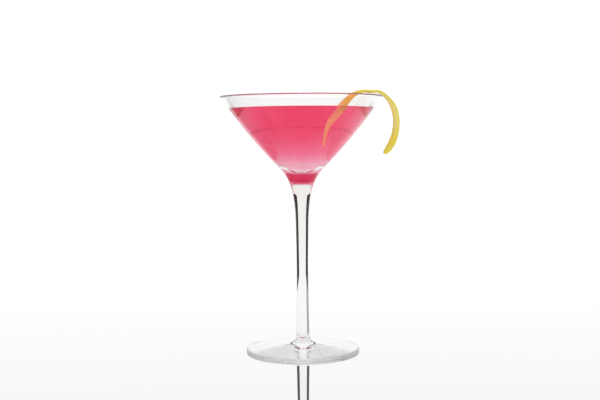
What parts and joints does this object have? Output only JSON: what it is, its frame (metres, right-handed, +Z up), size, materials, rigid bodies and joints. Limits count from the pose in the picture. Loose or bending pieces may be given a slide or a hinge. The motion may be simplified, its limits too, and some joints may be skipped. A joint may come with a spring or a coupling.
{
  "type": "vodka lemon cocktail in a stemmed glass",
  "caption": "Pink vodka and lemon cocktail in a stemmed, cone-shaped clear glass, with a strip of lemon peel hooked over the rim; stands on its round foot.",
  "frame": {"origin": "middle of the foot's flat underside, where the glass stands", "axes": "+Z up along the stem and the bowl's axis, +X towards the side where the lemon twist hangs, -Y towards the viewer"},
  "size_m": [0.1241, 0.1142, 0.1824],
  "materials": {
    "clear_glass": "clear, polished",
    "pink_drink": "clear pink-red liquid, still surface",
    "lemon_peel": "lemon zest outside with fine pores, pale pith inside"
  },
  "bodies": {
    "root": {"glass": "clear_glass", "drink": "pink_drink", "lemon_twist": "lemon_peel"}
  },
  "joints": []
}
